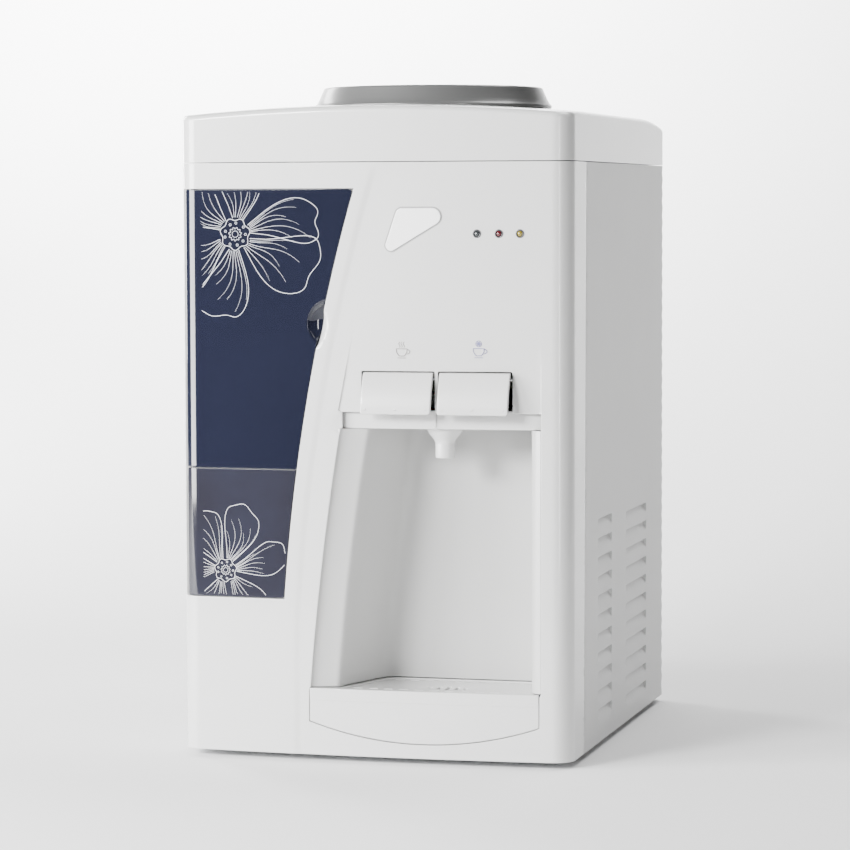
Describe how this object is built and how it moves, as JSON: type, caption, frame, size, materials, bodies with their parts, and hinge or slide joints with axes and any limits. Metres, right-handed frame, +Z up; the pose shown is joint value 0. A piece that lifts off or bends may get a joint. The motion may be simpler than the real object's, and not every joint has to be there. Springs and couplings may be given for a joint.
{
  "type": "countertop water dispenser",
  "caption": "White countertop hot and cold water dispenser with a bottle seat, press-button bay, slide-out drip tray and a hinged tinted cup cabinet.",
  "frame": {"origin": "on the counter, under the middle of the whole object's box", "axes": "+X to the right seen from the front, +Y to the back, +Z up; the buttons and the bay face -Y"},
  "size_m": [0.3112, 0.41, 0.521],
  "materials": {
    "shell_white": "glossy moulded ABS",
    "panel_grey": "powder-coated sheet",
    "collar_grey": "satin moulded plastic",
    "tinted_blue": "tinted glossy acrylic",
    "badge_white": "glossy",
    "galvanised": "bright steel",
    "stainless": "brushed stainless",
    "copper_tube": "drawn copper",
    "foam_white": "expanded foam",
    "silicone": "translucent silicone",
    "black_rubber": "black rubber",
    "black_paint": "black enamel",
    "black_plastic": "black moulded plastic",
    "clear_plastic": "clear moulded plastic",
    "red_plastic": "red moulded plastic",
    "blue_plastic": "blue moulded plastic",
    "green_plastic": "green moulded plastic",
    "amber_lens": "amber lens",
    "red_lens": "red lens",
    "dark_lens": "dark lens",
    "board_green": "circuit board",
    "mica_band": "heater jacket"
  },
  "bodies": {
    "housing": {"base_plate": "galvanised", "rubber_feet": "black_rubber", "front_panel": "shell_white", "left_side_panel": "panel_grey", "right_side_panel": "panel_grey", "rear_panel": "panel_grey", "panel_screws": "galvanised", "top_cover": "shell_white", "tank_gasket": "silicone", "door_hinge_pins": "galvanised", "door_magnet": "black_plastic", "lower_trim_panel": "tinted_blue", "cabinet_liner": "shell_white", "cabinet_shelf": "clear_plastic", "badge_plate": "badge_white", "led_power": "dark_lens", "led_hot": "red_lens", "led_cold": "amber_lens", "led_board": "board_green", "bay_liner": "shell_white", "faucet_bracket": "shell_white", "button_pivot_rod": "galvanised", "button_springs": "galvanised", "hot_valve": "red_plastic", "cold_valve": "blue_plastic", "spout_manifold": "clear_plastic", "spout": "shell_white", "tray_dock": "shell_white", "cold_tank": "stainless", "tank_baffle": "clear_plastic", "tank_insulation": "foam_white", "evaporator_coil": "copper_tube", "hot_tank": "stainless", "heater_band": "mica_band", "hot_tank_insulation": "foam_white", "water_hoses": "silicone", "compressor": "black_paint", "compressor_grommets": "black_rubber", "refrigerant_lines": "copper_tube", "filter_drier": "copper_tube", "condenser_tube": "black_paint", "condenser_wires": "black_paint", "wall_spacers": "black_plastic", "cold_thermostat": "black_plastic", "switch_housings": "black_plastic", "power_inlet": "black_plastic", "drain_outlet": "shell_white"},
    "seat": {"bottle_seat": "collar_grey", "feed_probe": "clear_plastic"},
    "door": {"cabinet_door": "tinted_blue", "door_strike_plate": "galvanised"},
    "hot_press": {"hot_button": "shell_white"},
    "cold_press": {"cold_button": "shell_white"},
    "hot_stem": {"hot_plunger": "clear_plastic"},
    "cold_stem": {"cold_plunger": "clear_plastic"},
    "tray": {"drip_tray": "shell_white"},
    "grille": {"drip_grille": "shell_white"},
    "hot_rocker": {"hot_switch": "red_plastic"},
    "cold_rocker": {"cold_switch": "green_plastic"},
    "drain_closure": {"drain_cap": "black_plastic"}
  },
  "joints": [
    {"name": "seat_lift", "type": "slide", "parent": "housing", "child": "seat", "axis": [0, 0, 1], "range_m": [0, 0.06]},
    {"name": "door_hinge", "type": "hinge", "parent": "housing", "child": "door", "pos_m": [-0.14595, -0.18028, 0.332], "axis": [0, 0, -1], "range_deg": [0, 95]},
    {"name": "hot_button_press", "type": "hinge", "parent": "housing", "child": "hot_press", "pos_m": [0.02175, -0.183, 0.2955], "axis": [1, 0, 0], "range_deg": [0, 10], "stiffness_Nm_per_rad": 0.3, "springref_deg": -11.46},
    {"name": "cold_button_press", "type": "hinge", "parent": "housing", "child": "cold_press", "pos_m": [0.08175, -0.183, 0.2955], "axis": [1, 0, 0], "range_deg": [0, 10], "stiffness_Nm_per_rad": 0.3, "springref_deg": -11.46},
    {"name": "hot_valve_stem", "type": "slide", "parent": "housing", "child": "hot_stem", "axis": [0, 1, 0], "range_m": [0, 0.0038]},
    {"name": "cold_valve_stem", "type": "slide", "parent": "housing", "child": "cold_stem", "axis": [0, 1, 0], "range_m": [0, 0.0038]},
    {"name": "tray_slide", "type": "slide", "parent": "housing", "child": "tray", "axis": [0, -1, 0], "range_m": [0, 0.07]},
    {"name": "grille_lift", "type": "slide", "parent": "tray", "child": "grille", "axis": [0, 0, 1], "range_m": [0, 0.02]},
    {"name": "hot_switch_rock", "type": "hinge", "parent": "housing", "child": "hot_rocker", "pos_m": [0.062, 0.1844, 0.392], "axis": [1, 0, 0], "range_deg": [0, 24]},
    {"name": "cold_switch_rock", "type": "hinge", "parent": "housing", "child": "cold_rocker", "pos_m": [0.092, 0.1844, 0.392], "axis": [1, 0, 0], "range_deg": [0, 24]},
    {"name": "drain_cap_turn", "type": "hinge", "parent": "housing", "child": "drain_closure", "pos_m": [0.02, 0.19, 0.04], "axis": [0, 1, 0], "continuous": true}
  ],
  "couplings": [
    {"joint": "hot_valve_stem", "follows": "hot_button_press", "m_per_rad": 0.0215},
    {"joint": "cold_valve_stem", "follows": "cold_button_press", "m_per_rad": 0.0215}
  ]
}
